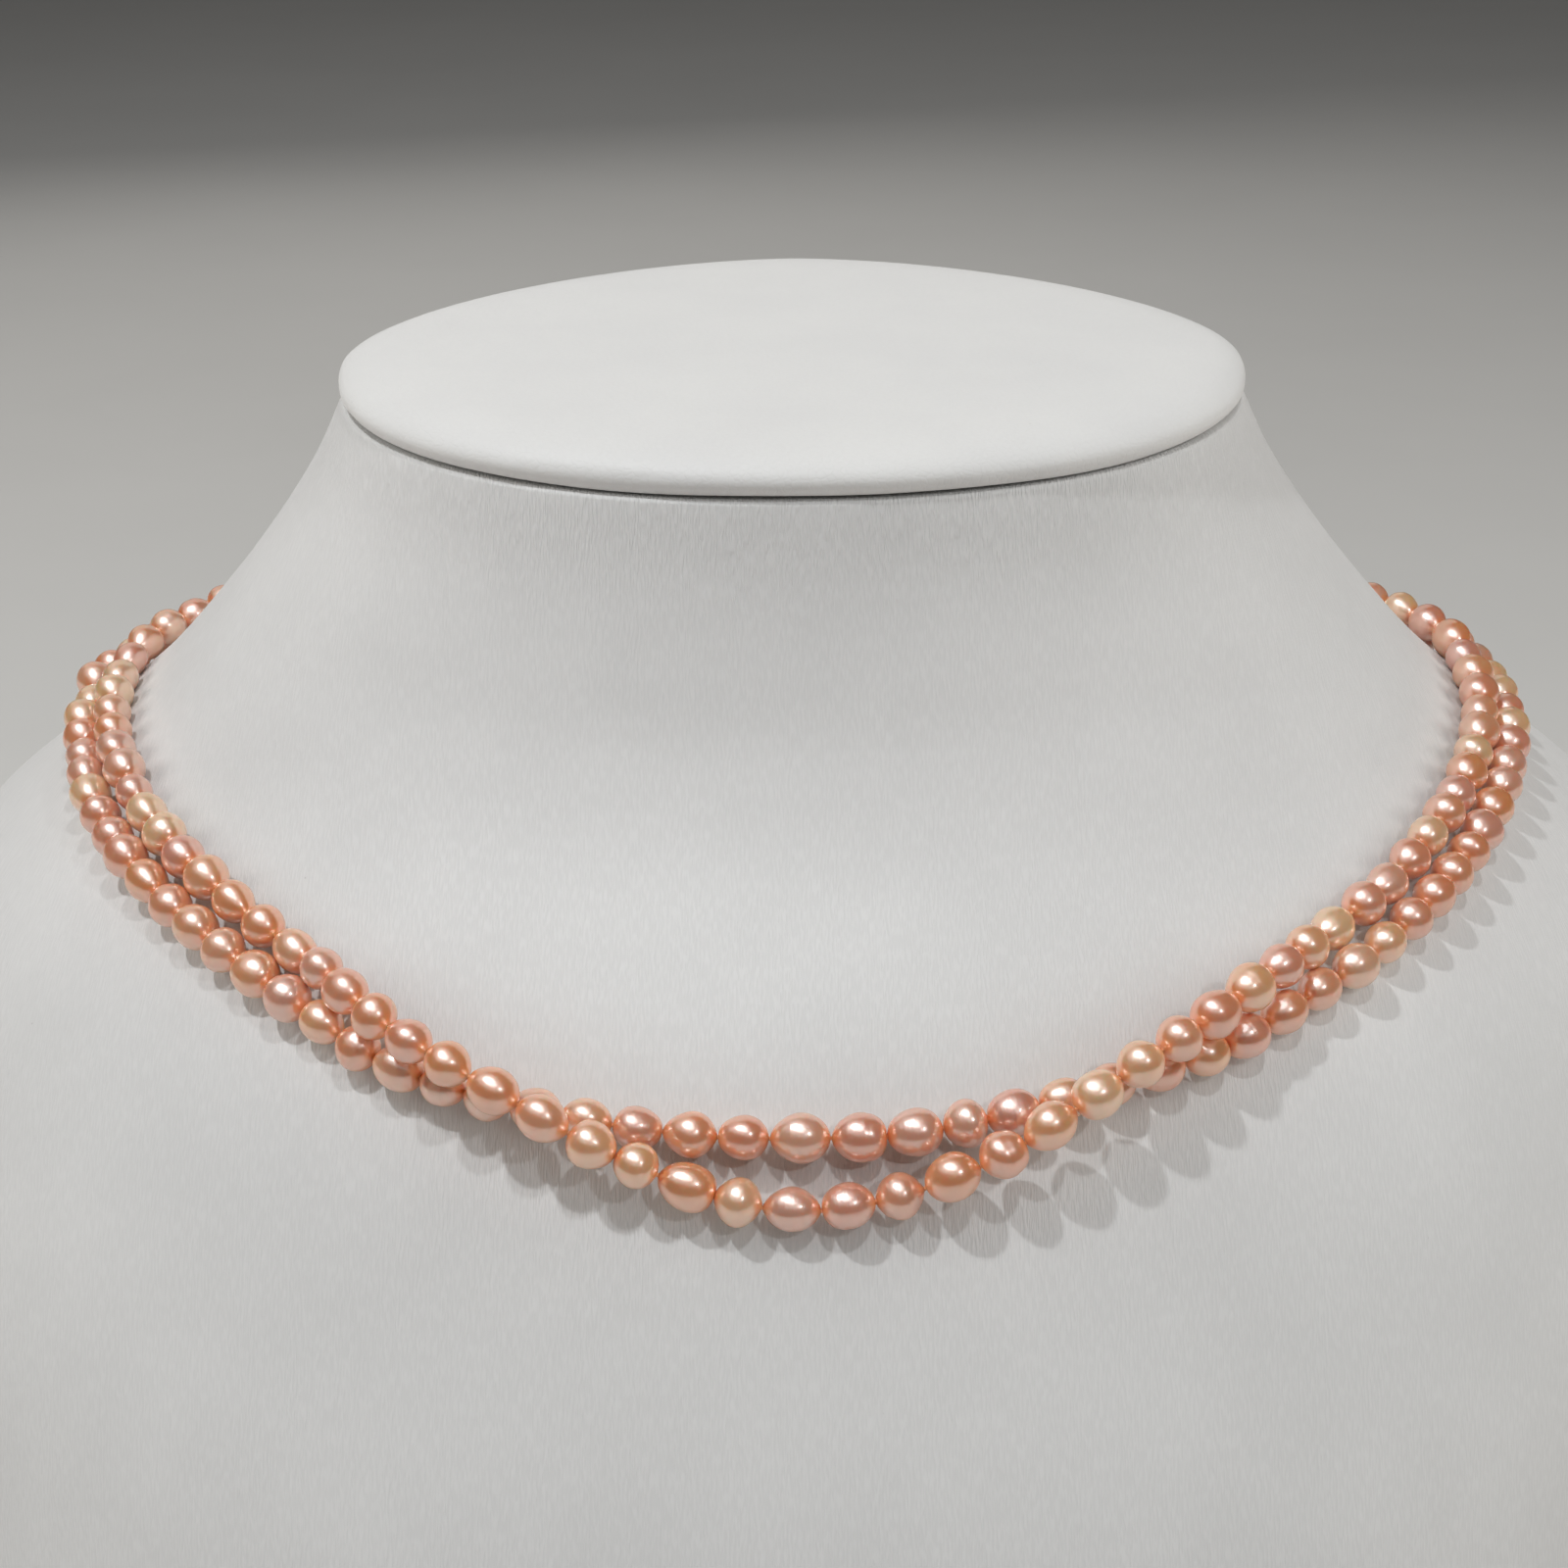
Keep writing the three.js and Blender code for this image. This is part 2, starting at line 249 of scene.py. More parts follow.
class Wire:
    # a socket in a node tree: arithmetic on it adds Math nodes

    def __init__(self, tree, socket=None):
        self.tree = tree
        self.socket = socket

    # any node: its type, its settings, which are set first, then what its sockets hold or take
    def node(self, kind, settings=None, sockets=None, out=0):
        made = self.tree.nodes.new(kind)
        for name, value in (settings or {}).items():
            setattr(made, name, value)
        for name, value in (sockets or {}).items():
            if isinstance(value, Wire):
                self.tree.links.new(value.socket, made.inputs[name])
            else:
                made.inputs[name].default_value = value
        return Wire(self.tree, made.outputs[out] if made.outputs else None)

    def maths(self, operation, *values):
        return self.node("ShaderNodeMath", {"operation": operation}, dict(enumerate(values)))

    def __add__(self, other):
        return self.maths("ADD", self, other)

    def __radd__(self, other):
        return self.maths("ADD", other, self)

    def __sub__(self, other):
        return self.maths("SUBTRACT", self, other)

    def __rsub__(self, other):
        return self.maths("SUBTRACT", other, self)

    def __mul__(self, other):
        return self.maths("MULTIPLY", self, other)

    def __rmul__(self, other):
        return self.maths("MULTIPLY", other, self)

    # the three numbers of a vector
    def split(self):
        parts = self.node("ShaderNodeSeparateXYZ", {}, {0: self}).socket.node
        return [Wire(self.tree, socket) for socket in parts.outputs]

    def vectors(self, operation, *values):
        return self.node("ShaderNodeVectorMath", {"operation": operation}, dict(enumerate(values)))

    # 0 below low, 1 above high, and smooth between them
    def ease(self, low, high):
        return self.node(
            "ShaderNodeMapRange",
            {"interpolation_type": "SMOOTHSTEP"},
            {"Value": self, "From Min": low, "From Max": high},
        )

    # as a mask: the first colour where it is 0, the second where it is 1;
    # a Mix node's colours are its sockets 6 and 7, and its mixed colour is output 2
    def pick(self, first, second):
        return self.node("ShaderNodeMix", {"data_type": "RGBA"}, {0: self, 6: first, 7: second}, out=2)

    def noise(self, scale, detail=2.0, roughness=0.5, distortion=0.0):
        return self.node("ShaderNodeTexNoise", {}, {
            "Vector": self, "Scale": scale, "Detail": detail,
            "Roughness": roughness, "Distortion": distortion,
        })

    def bump(self, height, strength, distance):
        return self.node("ShaderNodeBump", {}, {
            "Height": height, "Strength": strength, "Distance": distance,
        })


def shade(red, green, blue):
    # a screen colour of 0 to 255, made linear
    linear = []
    for level in (red / 255, green / 255, blue / 255):
        linear.append(level / 12.92 if level <= 0.04 else ((level + 0.055) / 1.055) ** 2.4)
    return (*linear, 1.0)


def newFinish(name):
    material = bpy.data.materials.new(name)
    material.use_nodes = True
    material.node_tree.nodes.clear()
    return material, Wire(material.node_tree)


def applySurface(wire, sockets):
    surface = wire.node("ShaderNodeBsdfPrincipled", {}, sockets)
    wire.node("ShaderNodeOutputMaterial", {}, {"Surface": surface})


nacreLook = {
    "peach": shade(236, 165, 110),
    "pink": shade(231, 158, 122),
    "cream": shade(244, 204, 160),
    "lilac": shade(226, 164, 146),
    "paintedTipGlow": shade(255, 158, 90),  # painted glow: the orange light that bounces between touching pearls, painted at the drilled tips
    "tipGlowStrength": 0.9,  # how strong the painted tip glow gets
    "skin": shade(255, 241, 232),  # tint of what the nacre mirrors
    "mirrorIor": 4.2,
    "roughness": 0.31,
    "coatWeight": 0.8,
    "coatRoughness": 0.09,
    "coatIor": 2.1,
    "glowDepth": 0.0014,  # how far light wanders inside a pearl, in metres
    "glowSpread": (1.0, 0.5, 0.3),  # red wanders furthest
    "cloudScale": 240.0,
    "grainScale": 1500.0,
    "ridgeCount": 5.0,  # how often the fine ridges repeat along a pearl
    "reliefDepth": 0.00012,
}


def pearlNacre():
    look = nacreLook
    material, wire = newFinish("peachNacre")
    place = wire.node("ShaderNodeTexCoord", out="Object")
    tone = wire.node("ShaderNodeAttribute", {"attribute_name": "pearlTone"}, out="Vector")
    warmth, paleness, overtone = tone.split()
    along = wire.node("ShaderNodeAttribute", {"attribute_name": "alongPearl"}, out="Fac")
    cloud = place.noise(look["cloudScale"], 2.0, 0.5)
    body = (warmth * 0.8 + cloud * 0.4 - 0.1).ease(0.0, 1.0).pick(look["pink"], look["peach"])
    body = (paleness + cloud * 0.3 - 0.15).ease(0.2, 1.0).pick(body, look["cream"])
    body = ((overtone + cloud * 0.3).ease(0.55, 1.2) * 0.75).pick(body, look["lilac"])
    # painted glow: each pearl's tips are painted orange for the light that bounces between touching pearls
    tip = wire.maths("ABSOLUTE", along).ease(0.6, 0.98)
    body = (tip * look["tipGlowStrength"]).pick(body, look["paintedTipGlow"])
    # ridges run round a pearl, and its own tone makes them differ from the next one's
    wrinkles = wire.node("ShaderNodeCombineXYZ", {}, {
        0: along * look["ridgeCount"], 1: warmth * 90.0, 2: paleness * 90.0,
    })
    ridges = wrinkles.noise(1.0, 3.0, 0.6) * (overtone.ease(0.3, 0.9) + 0.25)
    grain = place.noise(look["grainScale"], 3.0, 0.55)
    applySurface(wire, {
        "Base Color": body,
        "Roughness": look["roughness"] - 0.03 + cloud * 0.06,
        "Normal": wire.bump(ridges * 0.8 + grain * 0.12, 0.35, look["reliefDepth"]),
        "IOR": look["mirrorIor"],
        "Specular Tint": look["skin"],
        "Subsurface Weight": 1.0,
        "Subsurface Radius": look["glowSpread"],
        "Subsurface Scale": look["glowDepth"],
        "Coat Weight": look["coatWeight"],
        "Coat Roughness": look["coatRoughness"],
        "Coat IOR": look["coatIor"],
    })
    return material


silkLook = {"dark": shade(240, 160, 112), "light": shade(250, 190, 146), "plyScale": 3000.0}


def threadSilk():
    look = silkLook
    material, wire = newFinish("peachSilk")
    place = wire.node("ShaderNodeTexCoord", out="Object")
    ply = place.noise(look["plyScale"], 2.0, 0.6)
    applySurface(wire, {
        "Base Color": ply.pick(look["dark"], look["light"]),
        "Roughness": 0.75,
        "Normal": wire.bump(ply, 0.4, 0.0001),
    })
    return material


leatherLook = {
    "pale": shade(226, 226, 225),
    "shadow": shade(214, 214, 213),
    "bright": shade(232, 232, 230),
    "speck": shade(160, 157, 152),
    "linePitch": 0.21,  # mm between the raised lines of the bust's covering
    "lineStretch": 0.13,  # the lower, the longer the lines
    "lineTint": 0.16,
    "mottleScale": 40.0,
    "poreScale": 1700.0,
    "lineDepth": 0.00008,
    "grainDepth": 0.00006,  # of the cap's smoother leather
}


def bustLeatherette():
    look = leatherLook
    material, wire = newFinish("linedLeatherette")
    place = wire.node("ShaderNodeTexCoord", out="Object")
    weave = wire.node("ShaderNodeUVMap", {"uv_map": "weave"})
    edge = wire.node("ShaderNodeUVMap", {"uv_map": "edges"})
    fromSeam, belowTop = edge.split()[:2]
    pitch = look["linePitch"]
    threads = weave.vectors("MULTIPLY", weave, (1 / pitch, look["lineStretch"] / pitch, 1.0))
    lines = threads.noise(1.0, 1.0, 0.5).ease(0.36, 0.64)
    mottle = place.noise(look["mottleScale"], 3.0, 0.55)
    pores = place.noise(look["poreScale"], 2.0, 0.5)
    speck = place.noise(900.0, 1.0, 0.4).ease(0.84, 0.87)
    seam = 1.0 - fromSeam.ease(0.15, 0.7)
    tone = (mottle * 0.6 + lines * look["lineTint"]).ease(0.1, 0.7)
    colour = tone.pick(look["shadow"], look["pale"])
    colour = (speck * 0.4).pick(colour, look["speck"])
    colour = (seam * 0.45).pick(colour, look["speck"])
    fold = 1.0 - belowTop.ease(0.2, 1.4)
    tight = 1.6 - belowTop.ease(1.0, 14.0)  # the lines stand out where the covering is pulled in
    height = lines * tight + pores * 0.3 - seam * 3.0 - speck * 0.5 + fold * 0.6
    applySurface(wire, {
        "Base Color": colour,
        "Roughness": 0.6 + mottle * 0.08 - lines * 0.05,
        "Normal": wire.bump(height, 0.5, look["lineDepth"]),
        "IOR": 1.45,
        "Specular IOR Level": 0.4,
        "Sheen Weight": 0.08,
        "Sheen Roughness": 0.5,
    })
    return material


def capLeather():
    look = leatherLook
    material, wire = newFinish("smoothLeather")
    place = wire.node("ShaderNodeTexCoord", out="Object")
    mottle = place.noise(45.0, 4.0, 0.6)
    cells = wire.node(
        "ShaderNodeTexVoronoi", {"feature": "DISTANCE_TO_EDGE"}, {"Vector": place, "Scale": 1300.0})
    fine = place.noise(1800.0, 3.0, 0.6)
    speck = place.noise(800.0, 1.0, 0.4).ease(0.84, 0.87)
    grain = cells.ease(0.0, 0.16) * 0.6 + fine * 0.5
    colour = (mottle * 0.8 + fine * 0.15).ease(0.2, 0.8).pick(look["pale"], look["bright"])
    colour = (speck * 0.45).pick(colour, look["speck"])
    applySurface(wire, {
        "Base Color": colour,
        "Roughness": 0.5 + mottle * 0.1,
        "Normal": wire.bump(grain, 0.45, look["grainDepth"]),
        "IOR": 1.45,
        "Specular IOR Level": 0.4,
        "Sheen Weight": 0.06,
    })
    return material


silverLook = {"dull": shade(196, 192, 186), "bright": shade(222, 220, 216), "roughness": 0.38}


def claspSilver():
    look = silverLook
    material, wire = newFinish("satinSilver")
    place = wire.node("ShaderNodeTexCoord", out="Object")
    smear = place.noise(900.0, 3.0, 0.6)
    scratch = place.vectors("MULTIPLY", place, (1.0, 1.0, 18.0)).noise(1800.0, 2.0, 0.6)
    applySurface(wire, {
        "Base Color": smear.pick(look["dull"], look["bright"]),
        "Metallic": 1.0,
        "Roughness": look["roughness"] + smear * 0.14,
        "Normal": wire.bump(scratch, 0.15, 0.00003),
    })
    return material


floorLook = {"dark": shade(210, 210, 208), "light": shade(218, 218, 216), "half": 9000.0, "gap": 0.2}


def floorPaper():
    look = floorLook
    material, wire = newFinish("paleFloor")
    place = wire.node("ShaderNodeTexCoord", out="Object")
    mottle = place.noise(9.0, 4.0, 0.6)
    tooth = place.noise(900.0, 2.0, 0.5)
    applySurface(wire, {
        "Base Color": mottle.pick(look["dark"], look["light"]),
        "Roughness": 0.8,
        "Normal": wire.bump(tooth, 0.2, 0.0001),
    })
    return material


def newPiece(name, points, faces, materials):
    mesh = bpy.data.meshes.new(name)
    mesh.from_pydata((np.asarray(points) * mm).tolist(), [], faces)
    for material in materials:
        mesh.materials.append(material)
    mesh.shade_smooth()
    piece = bpy.data.objects.new(name, mesh)
    bpy.context.scene.collection.objects.link(piece)
    return piece


def layMap(piece, name, corners):
    # a UV map from one (u, v) for every face corner, in face order
    layer = piece.data.uv_layers.new(name=name, do_init=False)
    layer.uv.foreach_set("vector", np.asarray(corners, np.float32).ravel())


def pointValues(piece, name, kind, values):
    attribute = piece.data.attributes.new(name, kind, "POINT")
    field = "value" if kind == "FLOAT" else "vector"
    attribute.data.foreach_set(field, np.asarray(values, np.float32).ravel())


def tubeFaces(rings, around):
    # quads between rings of points, then a fan to one more point at each end
    ring, column = np.meshgrid(np.arange(rings - 1), np.arange(around), indexing="ij")
    after = (column + 1) % around
    quads = np.stack([
        ring * around + column, ring * around + after,
        (ring + 1) * around + after, (ring + 1) * around + column,
    ], -1).reshape(-1, 4)
    column = np.arange(around)
    after = (column + 1) % around
    first, last = rings * around, rings * around + 1
    lastRing = (rings - 1) * around
    start = np.stack([np.full(around, first), after, column], -1)
    end = np.stack([np.full(around, last), column + lastRing, after + lastRing], -1)
    return quads, start, end


def tubeCorners(rings, around):
    # where each corner of tubeFaces lies on a grid of (column, ring)
    ring, column = np.meshgrid(np.arange(rings - 1), np.arange(around), indexing="ij")
    quads = np.stack([
        np.stack([column, ring], -1), np.stack([column + 1, ring], -1),
        np.stack([column + 1, ring + 1], -1), np.stack([column, ring + 1], -1),
    ], 2).reshape(-1, 2)
    column = np.arange(around)
    low, high = np.zeros(around), np.full(around, rings - 1)
    start = np.stack([
        np.stack([column + 0.5, low - 0.5], -1),
        np.stack([column + 1, low], -1), np.stack([column, low], -1),
    ], 1).reshape(-1, 2)
    end = np.stack([
        np.stack([column + 0.5, high + 0.5], -1),
        np.stack([column, high], -1), np.stack([column + 1, high], -1),
    ], 1).reshape(-1, 2)
    return np.concatenate([quads, start, end])


def closedTube(name, rings, firstMiddle, lastMiddle, materials):
    count, around = len(rings), len(rings[0])
    points = np.concatenate([np.concatenate(rings), [firstMiddle], [lastMiddle]])
    quads, start, end = tubeFaces(count, around)
    faces = quads.tolist() + start.tolist() + end.tolist()
    return newPiece(name, points, faces, materials)


bust = {
    "columns": 288,
    "topRounding": 0.45,  # the covering's turn-in under the cap
    "heelRounding": 1.8,  # and at the base
    "turnRows": 7,  # rows over each of these roundings
    "rowStep": 1.6,
    "tuck": 0.06,  # how far the turned-in edge dips below the neck's upper edge
    "tuckedRows": ((0.12, 9.0), (0.09, 2.4)),  # drop and inset of the rows that the cap hides
    "topMiddle": 0.15,  # drop of the middle, under the cap
    "baseInsets": (4.0, 30.0),
}


def bustRows():
    # drop and inset of every row, from the turn-in under the cap down to the base
    turns = np.radians(np.linspace(0, 90, bust["turnRows"]))
    top, heel, depth, step = bust["topRounding"], bust["heelRounding"], neckTop, bust["rowStep"]
    rows = list(bust["tuckedRows"])
    rows += [(top * (1 - math.cos(t)) + bust["tuck"], top * (1 - math.sin(t))) for t in turns]
    rows += [(drop, 0.0) for drop in np.arange(top + step, depth - heel - step / 3, step)]
    rows += [(depth - heel * (1 - math.sin(t)), heel * (1 - math.cos(t))) for t in turns]
    rows += [(depth, inset) for inset in bust["baseInsets"]]
    return rows


def buildBust():
    columns = bust["columns"]
    angles = np.radians(np.arange(columns) * 360 / columns - 180)
    rows = bustRows()[::-1]
    rings = [aroundAxis(angles, outlineRadius(angles, drop) - inset, neckTop - drop) for drop, inset in rows]
    top = (0, 0, neckTop - bust["topMiddle"])
    piece = closedTube("bustForm", rings, (0, 0, 0), top, [bustLeatherette()])
    # the covering's lines run down the bust from the neck, and meet at a seam behind
    steps = np.array([np.linalg.norm(np.roll(ring, -1, 0) - ring, axis=1) for ring in rings])
    around = np.concatenate([np.zeros((len(rings), 1)), np.cumsum(steps, 1)], 1)
    around -= around[:, -1:] / 2
    front = np.array([ring[columns // 2] for ring in rings])
    down = np.concatenate([[0], np.cumsum(np.linalg.norm(np.diff(front, axis=0), axis=1))])
    corner = tubeCorners(len(rings), columns)
    row = np.clip(corner[:, 1], 0, len(rings) - 1).astype(int)
    column = np.clip(np.round(corner[:, 0]), 0, columns).astype(int)
    layMap(piece, "weave", np.stack([around[row, column], down[row]], -1))
    drops = np.array([drop for drop, inset in rows])
    fromSeam = around[row, -1] - np.abs(around[row, column])
    layMap(piece, "edges", np.stack([fromSeam, drops[row]], -1))
    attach(piece, "root")
    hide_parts("bust_form")


cap = {
    "columns": 288,
    "ringsPerStep": 5,  # between two rows of its table
    "softness": 0.06,  # how unevenly the padding fills its edge
    "softAt": (2.2, 1.6),  # most at this rise, and how far above and below it
    "sag": 0.07,  # and how its lower edge rises and falls along the seam
    "sagReach": 0.9,  # how far up that shows
    "crownShares": (0.75, 0.5, 0.25),
}
# count: waves round the edge; phase: in radians; size: as a share of softness or sag
edgeWaves = named("count phase size", [(7, 1.3, 1.0), (13, 4.1, 0.8), (29, 2.2, 0.5)])
seamWaves = named("count phase size", [(5, 0.6, 1.0), (11, 2.9, 0.7)])


def ripple(angles, waves):
    return sum(wave["size"] * np.sin(wave["count"] * angles + wave["phase"]) for wave in waves)


def buildCap():
    columns = cap["columns"]
    angles = np.radians(np.arange(columns) * 360 / columns - 180)
    outline = outlineRadius(angles, 0.0)
    last = len(capRings) - 1
    rings = []
    for along in np.linspace(0, last, last * cap["ringsPerStep"] + 1):
        rise = tableCurve(capRings, "along", "rise", along)
        inset = tableCurve(capRings, "along", "inset", along)
        near = math.exp(-((rise - cap["softAt"][0]) / cap["softAt"][1]) ** 2)
        swell = cap["softness"] * near * ripple(angles, edgeWaves)
        sag = cap["sag"] * math.exp(-rise / cap["sagReach"]) * ripple(angles, seamWaves)
        rings.append(aroundAxis(angles, outline - inset + swell, neckTop + rise + sag))
    edge = capRings[-1]
    for share in cap["crownShares"]:
        rise = edge["rise"] + (capCrown - edge["rise"]) * (1 - share ** 2)
        rings.append(aroundAxis(angles, (outline - edge["inset"]) * share, neckTop + rise))
    under = (0, 0, neckTop + capRings[0]["rise"])
    piece = closedTube("bustCap", rings, under, (0, 0, neckTop + capCrown), [capLeather()])
    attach(piece, "root")
    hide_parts("bust_cap")


pearlShape = {
    "rings": 34,
    "around": 44,
    "drillAngle": 0.11,  # how much of each tip the drilled end takes
    "closeness": 0.985,  # a pearl's share of its pitch
    "plumpness": 1.07,  # width against the solids' pearls
    "nestle": 0.3,  # how much nearer the bust the pearls lie than their solids
    "fullness": (0.95, 1.4),  # how pointed or how round the tips are
    "oneSided": 0.25,  # how much the two tips differ in that
    "unevenness": 0.0384,  # height of a swelling times its pace
    "egg": 2.0,  # how much the lean of a solid's pearl shows as an egg shape
    "flatness": 0.03,
    "jointShift": 0.32,  # mm that a joint between two pearls can lie from the solids' joint
    "widthSpread": 0.06,
    "wander": 0.08,  # how far the pearls turn from the thread's line
    "touch": 0.03,  # mm of air where a pearl rests on something
    "lifted": 0.6,  # mm of air past which a pearl is held up by the other strand
}
strandSeeds = {"inner": 11, "outer": 29}
solidSpread = {"length": 0.16, "width": 0.09, "lean": 0.12}  # how much the solids' pearls differ

swellingPaces = (2.0, 2.6, 3.3, 4.2, 5.4)  # radians over a pearl's radius, the slowest first
# share: of the pearls that have one; height: at its middle, as a share of a pearl's radius
grooves = named("share height", [(0.16, -0.03), (0.08, -0.022)])
blisters = named("share height", [(0.2, -0.045), (0.14, 0.03), (0.1, -0.03)])
grooveWidths = (0.06, 0.13)  # the narrowest and the widest
blisterWidths = (0.16, 0.36)

silkThread = {
    "radius": 0.2,
    "sides": 8,
    "tiedLength": 0.7,  # how far it runs on past the end pearls to the clasp
}
crossing = {
    "rounds": 12,
    "near": 6.0,  # mm between two middles, past which pearls can't meet
    "upperShare": 0.6,  # how much of the way the upper strand's pearl makes
}
mapMargin = 0.03  # empty edge of each pearl's square on the map, as a share of it


def numberStream(seed):
    # the same stream of numbers from 0 to 1 as the solids are drawn with
    state = seed
    while True:
        state = (state * 1664525 + 1013904223) % 2 ** 32
        yield state / 2 ** 32


def threadLine(column, nestle):
    degrees = np.linspace(-180, 180, 4 * 360 + 1)
    angles = np.radians(degrees)
    drop = tableCurve(strandRoute, "angle", column, degrees)
    lift = np.maximum(tableCurve(strandRoute, "angle", "lift", degrees), 0) * (column == "inner")
    outward = bustNormal(angles, drop)
    points = bustPoint(angles, drop) + outward * (standOff - nestle + lift)[:, None]
    along = np.concatenate([[0], np.cumsum(np.linalg.norm(np.diff(points, axis=0), axis=1))])
    return {"points": points, "outward": outward, "along": along}


def onThread(line, at, of="points"):
    return np.stack([np.interp(at, line["along"], line[of][:, k]) for k in range(3)], -1)


def threadPearls(line, solidLine, seed, random):
    # lengths, widths and leans as the solids draw them, so that each pearl lies on its own solid
    draw = numberStream(seed)
    total = solidLine["along"][-1]
    room = total - 2 * claspHalfWidth
    count = math.floor(room / pearlPitch + 0.5)
    spread = (solidSpread["length"], solidSpread["width"], solidSpread["lean"])
    rows = [[most * (next(draw) - 0.5) for most in spread] for each in range(count)]
    length, width, lean = np.array(rows).T
    length = (1 + length) * room / (1 + length).sum()
    joints = claspHalfWidth + np.concatenate([[0], np.cumsum(length)])
    shift = random.uniform(-1, 1, count + 1) * pearlShape["jointShift"]
    shift[[0, -1]] = 0
    joints = (joints + shift) * line["along"][-1] / total
    width = (1 + width) * pearlWidth * pearlShape["plumpness"]
    width *= 1 + random.uniform(-1, 1, count) * pearlShape["widthSpread"]
    return {"start": joints[:-1], "length": np.diff(joints), "width": width, "lean": lean}


def pearlBumps(directions, count, random):
    # slow swellings, and now and then a groove round a pearl, a dent or a blister
    t = directions[:, 0]
    bumps = np.zeros((count, len(directions)))
    for pace in swellingPaces:
        facing = unit(random.normal(size=(count, 3)))
        phase = random.uniform(0, 2 * math.pi, (count, 1))
        height = pearlShape["unevenness"] / pace * random.uniform(0.3, 1.3, (count, 1))
        bumps += height * np.sin(pace * facing @ directions.T + phase)
    for groove in grooves:
        has = random.uniform(size=(count, 1)) < groove["share"]
        where = random.uniform(-0.62, 0.62, (count, 1))
        wide = random.uniform(*grooveWidths, (count, 1))
        height = has * groove["height"] * random.uniform(0.4, 1, (count, 1))
        bumps += height * np.exp(-((t - where) / wide) ** 2)
    for blister in blisters:
        has = random.uniform(size=(count, 1)) < blister["share"]
        facing = unit(random.normal(size=(count, 3)))
        wide = random.uniform(*blisterWidths, (count, 1))
        height = has * blister["height"] * random.uniform(0.4, 1, (count, 1))
        apart = 2 - 2 * facing @ directions.T
        bumps += height * np.exp(-apart / wide ** 2)
    return bumps


def shapePearls(column):
    # every pearl of a strand, each in its own directions: along the thread, away from the bust and up
    solidLine = threadLine(column, 0.0)
    line = threadLine(column, pearlShape["nestle"])
    random = np.random.RandomState(strandSeeds[column] * 7 + 3)
    pearls = threadPearls(line, solidLine, strandSeeds[column], random)
    rings, around, drill = pearlShape["rings"], pearlShape["around"], pearlShape["drillAngle"]
    count = len(pearls["start"])
    slope = np.linspace(drill, math.pi - drill, rings)
    turn = np.arange(around) * 2 * math.pi / around
    t, s = -np.cos(slope), np.sin(slope)
    directions = np.stack(np.broadcast_arrays(
        t[:, None], s[:, None] * np.cos(turn), s[:, None] * np.sin(turn)), -1)
    directions = np.concatenate([directions.reshape(-1, 3), [[t[0], 0, 0], [t[-1], 0, 0]]])
    axial = directions[:, 0] / t[-1]
    across = np.concatenate([np.repeat(s, around), [0, 0]])
    safe = np.maximum(across, 1e-9)
    oneSided, flatness = pearlShape["oneSided"], pearlShape["flatness"]
    fullness = random.uniform(*pearlShape["fullness"], (count, 1))
    fullness = fullness + random.uniform(-oneSided, oneSided, (count, 1)) * axial
    egg = pearls["lean"][:, None] * pearlShape["egg"]
    bumps = pearlBumps(directions, count, random) * (across > 0.2)
    radial = across ** fullness * (1 + egg * axial) * (1 + bumps) * pearls["width"][:, None] / 2
    oval = random.uniform(-flatness, flatness, (count, 1))
    x = axial * pearls["length"][:, None] / 2 * pearlShape["closeness"]
    y = radial * directions[:, 1] / safe * (1 + oval)
    z = radial * directions[:, 2] / safe * (1 - oval)
    first = onThread(line, pearls["start"])
    last = onThread(line, pearls["start"] + pearls["length"])
    forward = unit(last - first + random.normal(size=(count, 3)) * pearlShape["wander"])
    sideways = unit(np.cross(forward, onThread(line, pearls["start"], "outward")))
    outward = np.cross(sideways, forward)
    return {
        "line": line,
        "start": pearls["start"],
        "end": pearls["start"] + pearls["length"],
        "reach": np.stack([pearls["length"], pearls["width"], pearls["width"]], -1) / 2,
        "middle": (first + last) / 2,
        "axes": np.stack([forward, outward, sideways], 1),
        "shape": np.stack([x, y, z], -1),
        "axial": axial,
        "tones": random.uniform(size=(count, 3)),
    }


def pearlPoints(strand):
    return strand["middle"][:, None] + strand["shape"] @ strand["axes"]


def restOnBust(strand):
    # each pearl moves in or out until it just touches the covering, unless the strand is lifted there
    points = pearlPoints(strand)
    angle = np.arctan2(points[..., 0], -points[..., 1])
    beyond = np.hypot(points[..., 0], points[..., 1]) - outlineRadius(angle, neckTop - points[..., 2])
    middle = strand["middle"]
    middleAngle = np.arctan2(middle[:, 0], -middle[:, 1])
    normal = bustNormal(middleAngle, neckTop - middle[:, 2])
    facing = np.sum(normal * aroundAxis(middleAngle, 1.0, 0.0), -1)
    gap = beyond.min(1) * facing - pearlShape["touch"]
    move = np.where(gap > pearlShape["lifted"], 0, gap)
    strand["middle"] = middle - normal * move[:, None]


def easeApart(upper, lower):
    # where the strands cross, pearls that would run into each other move apart
    for attempt in range(crossing["rounds"]):
        distance = np.linalg.norm(upper["middle"][:, None] - lower["middle"][None], axis=-1)
        for i, j in np.argwhere(distance < crossing["near"]):
            way = upper["middle"][i] - lower["middle"][j]
            apart = np.linalg.norm(way)
            way = way / apart
            room = sum(1 / np.linalg.norm((strand["axes"][k] @ way) / strand["reach"][k])
                       for strand, k in ((upper, i), (lower, j)))
            short = room + pearlShape["touch"] - apart
            if short > 0:
                upper["middle"][i] += way * short * crossing["upperShare"]
                down = way * short * (1 - crossing["upperShare"])
                outward = lower["axes"][j][1]
                lower["middle"][j] -= down - outward * max(down @ outward, 0)


